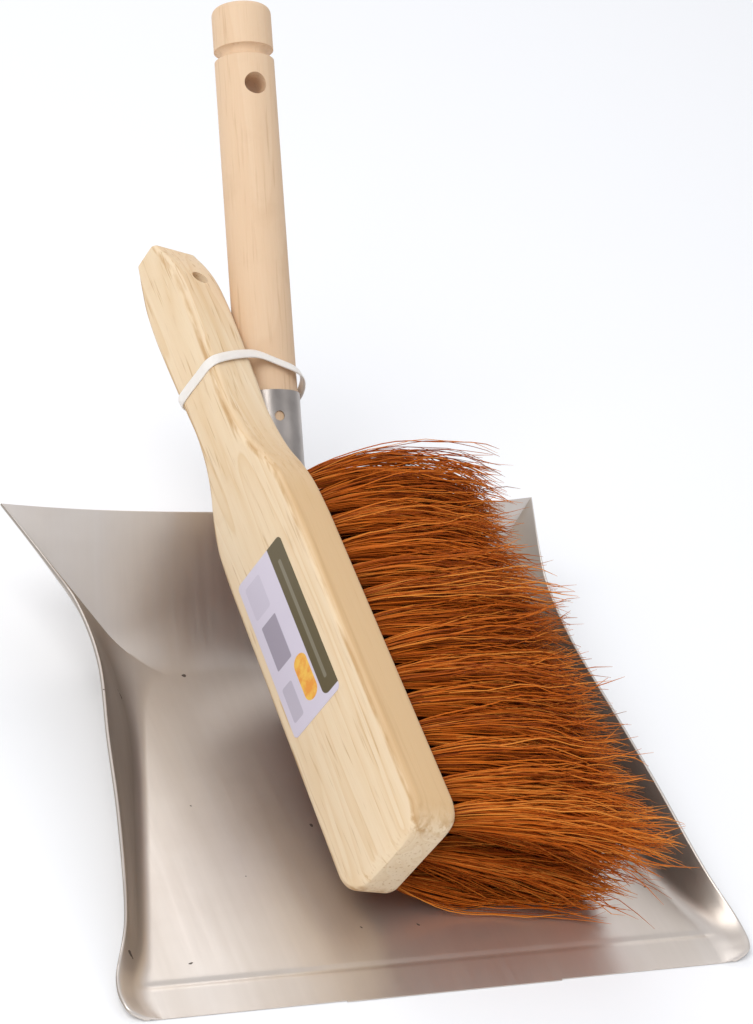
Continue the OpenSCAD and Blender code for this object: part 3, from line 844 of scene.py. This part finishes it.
def build_band():
    """Soft strap round the grip and the handle, riding higher between the two."""
    neck = to_pan([0, BAND_AT, -BLOCK_T / 2])
    at = HANDLE_FOOT + 2.7 * UP
    ex = (at - neck) / np.linalg.norm(at - neck)
    ez = np.cross(ex, RB[:, 0])
    ez /= np.linalg.norm(ez)
    ey = np.cross(ez, ex)

    def onto(p, d):
        k = -((p - neck) @ ez) / (d @ ez)
        q = p + k * d - neck
        return q @ ex, q @ ey

    pts = [onto(to_pan(q), RB[:, 1]) for q in wood_section(BAND_AT, 8)]
    side = np.cross(X1, UP)
    around = HANDLE_R + FIT + FERRULE_T
    for a in np.radians(np.arange(0, 360, 6)):
        pts.append(onto(at + around * (math.cos(a) * X1 + math.sin(a) * side), UP))
    h = hull(pts)
    loop = np.concatenate([h, h[:1]])
    d = np.r_[0, np.cumsum(np.linalg.norm(np.diff(loop, axis=0), axis=1))]
    u = np.linspace(0, d[-1], 161)[:-1]
    path = np.stack([np.interp(u, d, loop[:, 0]), np.interp(u, d, loop[:, 1])], 1)
    for _ in range(3):
        path = (np.roll(path, 1, 0) + 2 * path + np.roll(path, -1, 0)) / 4
    tan = np.roll(path, -1, 0) - np.roll(path, 1, 0)
    tan /= np.linalg.norm(tan, axis=1)[:, None]
    out = np.stack([tan[:, 1], -tan[:, 0]], 1)
    lift_top = np.interp(path[:, 0], [-12, -10, -4, 4, 11, 16, 20, 26, 32, 38],
                         [-1.3, -1.5, 1.0, 3.2, 4.4, 4.6, 2.6, -0.3, -2.6, -2.4])
    lift_low = np.interp(path[:, 0], [-12, 0, 20, 38], [-1.2, 0, 0, -1.6])
    lift = np.where(path[:, 1] > 0, lift_top, lift_low)
    for _ in range(14):
        lift = (np.roll(lift, 1) + 2 * lift + np.roll(lift, -1)) / 4
    ring = []
    w, t = 2.15, 0.45
    for k in range(16):
        a = 2 * math.pi * k / 16
        c, q = math.cos(a), math.sin(a)
        ring.append((math.copysign(abs(c) ** 0.5, c) * t + t + 0.38,
                     math.copysign(abs(q) ** 0.6, q) * w))
    n, m = len(path), len(ring)
    v = []
    for i in range(n):
        for o, z in ring:
            p2 = path[i] + out[i] * o
            v.append(neck + p2[0] * ex + p2[1] * ey + (z - lift[i]) * ez)
    v = np.array(v)
    v[:, 1] -= MID
    faces = [(i * m + j, i * m + (j + 1) % m, ((i + 1) % n) * m + (j + 1) % m, ((i + 1) % n) * m + j)
             for i in range(n) for j in range(m)]
    ob = make_mesh("band_strap", v * MM, faces)
    fix_normals(ob)
    paint(ob, M_BAND)
    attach(ob, "brush")
    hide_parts("band")


build_band()

# ---------------------------------------------------------------- carried-over nodes

for name, mat, deg in (("ferrule_rivets", M_RIVET, 30),
                       ("handle_nail", M_NAIL, 30), ("pan_handle", M_BEECH, 30)):
    paint(NODES[name], mat)
for row in range(1, ROWS + 1):
    paint(NODES["anchor_row_%d" % row], M_WIRE)

# ---------------------------------------------------------------- floor, light, camera

bm = bmesh.new()
bmesh.ops.create_grid(bm, x_segments=2, y_segments=2, size=6.0)
me = bpy.data.meshes.new("floor")
bm.to_mesh(me)
bm.free()
floor = bpy.data.objects.new("floor", me)
floor.location = (0, 0, -0.0002)
bpy.context.scene.collection.objects.link(floor)
paint(floor, floor_mat())

world = bpy.data.worlds.new("studio")
bpy.context.scene.world = world
world.use_nodes = True
world.node_tree.nodes["Background"].inputs[0].default_value = (0.92, 0.94, 1.0, 1)
world.node_tree.nodes["Background"].inputs[1].default_value = 0.67


def area(name, at, look, size, power, color=(1, 1, 1)):
    d = bpy.data.lights.new(name, "AREA")
    d.shape, d.size, d.size_y = "RECTANGLE", size[0], size[1]
    d.energy, d.color = power, color
    o = bpy.data.objects.new(name, d)
    o.location = at
    o.rotation_euler = (Vector(look) - Vector(at)).to_track_quat("-Z", "Y").to_euler()
    bpy.context.scene.collection.objects.link(o)


area("key", (-0.9, -0.5, 1.5), (0, 0, 0.05), (1.2, 1.2), 19)
area("fill", (1.3, -0.9, 0.9), (0, 0, 0.05), (1.2, 1.2), 1.8)
area("rim", (0.2, 1.5, 1.2), (0, 0.05, 0.1), (1.6, 0.6), 6)

cd = bpy.data.cameras.new("cam")
cam = bpy.data.objects.new("cam", cd)
bpy.context.scene.collection.objects.link(cam)
cam.matrix_world = Matrix((
    (0.925496, 0.013215, -0.378526, -0.303420),
    (-0.326852, 0.532830, -0.780551, -0.588808),
    (0.191375, 0.846119, 0.497451, 0.495896),
    (0, 0, 0, 1)))
cd.sensor_width, cd.sensor_fit, cd.lens = 36.0, "AUTO", 80.859
cd.clip_start, cd.clip_end = 0.05, 50
bpy.context.scene.camera = cam
bpy.context.scene.view_settings.view_transform = "Standard"
